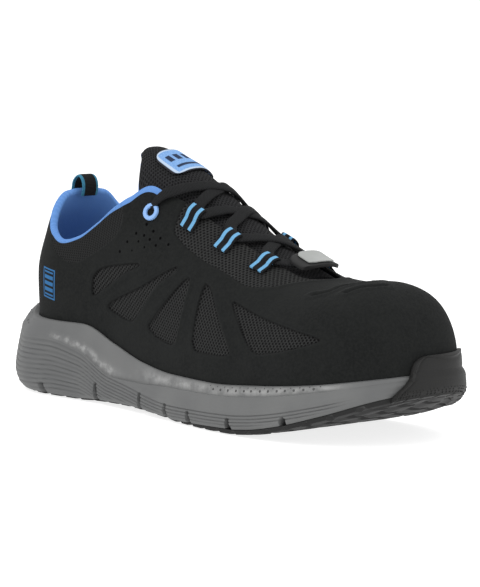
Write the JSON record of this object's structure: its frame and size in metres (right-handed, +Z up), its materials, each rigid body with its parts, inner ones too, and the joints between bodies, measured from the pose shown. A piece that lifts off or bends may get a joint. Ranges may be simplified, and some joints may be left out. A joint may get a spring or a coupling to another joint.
{
  "type": "safety sneaker",
  "caption": "Low lace-up work sneaker for the right foot, with a rounded protective toe, flared foam midsole and a rubber bumper over the toe.",
  "frame": {"origin": "centre of the shoe's box in plan, on the floor under its sole", "axes": "+X towards the toe, +Y towards the medial side, +Z up"},
  "size_m": [0.3014, 0.1128, 0.1404],
  "materials": {
    "upper_nubuck": "black nubuck with a fine nap and recessed mesh windows",
    "grey_foam": "matte moulded grey foam with fine side ribs",
    "black_rubber": "matte black rubber with cut lugs",
    "blue_lining": "soft blue knitted lining",
    "black_mesh": "black spacer mesh",
    "webbing": "black woven webbing with light blue stripes",
    "lace_textile": "flat black woven lace",
    "blue_plastic": "light blue moulded ring",
    "black_plastic": "matte black moulded keeper",
    "white_plastic": "satin white plate, bare",
    "blue_badge": "plain light blue patch"
  },
  "bodies": {
    "root": {"upper": "upper_nubuck", "midsole": "grey_foam", "outsole": "black_rubber", "insole": "blue_lining", "tongue": "black_mesh", "heel_pull_loop": "webbing", "eyelet_lateral": "blue_plastic", "eyelet_medial": "blue_plastic", "lace_loop_lateral_1": "webbing", "lace_loop_lateral_2": "webbing", "lace_loop_lateral_3": "webbing", "lace_loop_medial_1": "webbing", "lace_loop_medial_2": "webbing", "lace_loop_medial_3": "webbing", "lace_bar": "lace_textile", "lace_cross_1": "lace_textile", "lace_cross_2": "lace_textile", "lace_cross_3": "lace_textile", "lace_keeper": "black_plastic", "keeper_plate": "white_plastic", "tongue_badge": "blue_badge"}
  },
  "joints": []
}
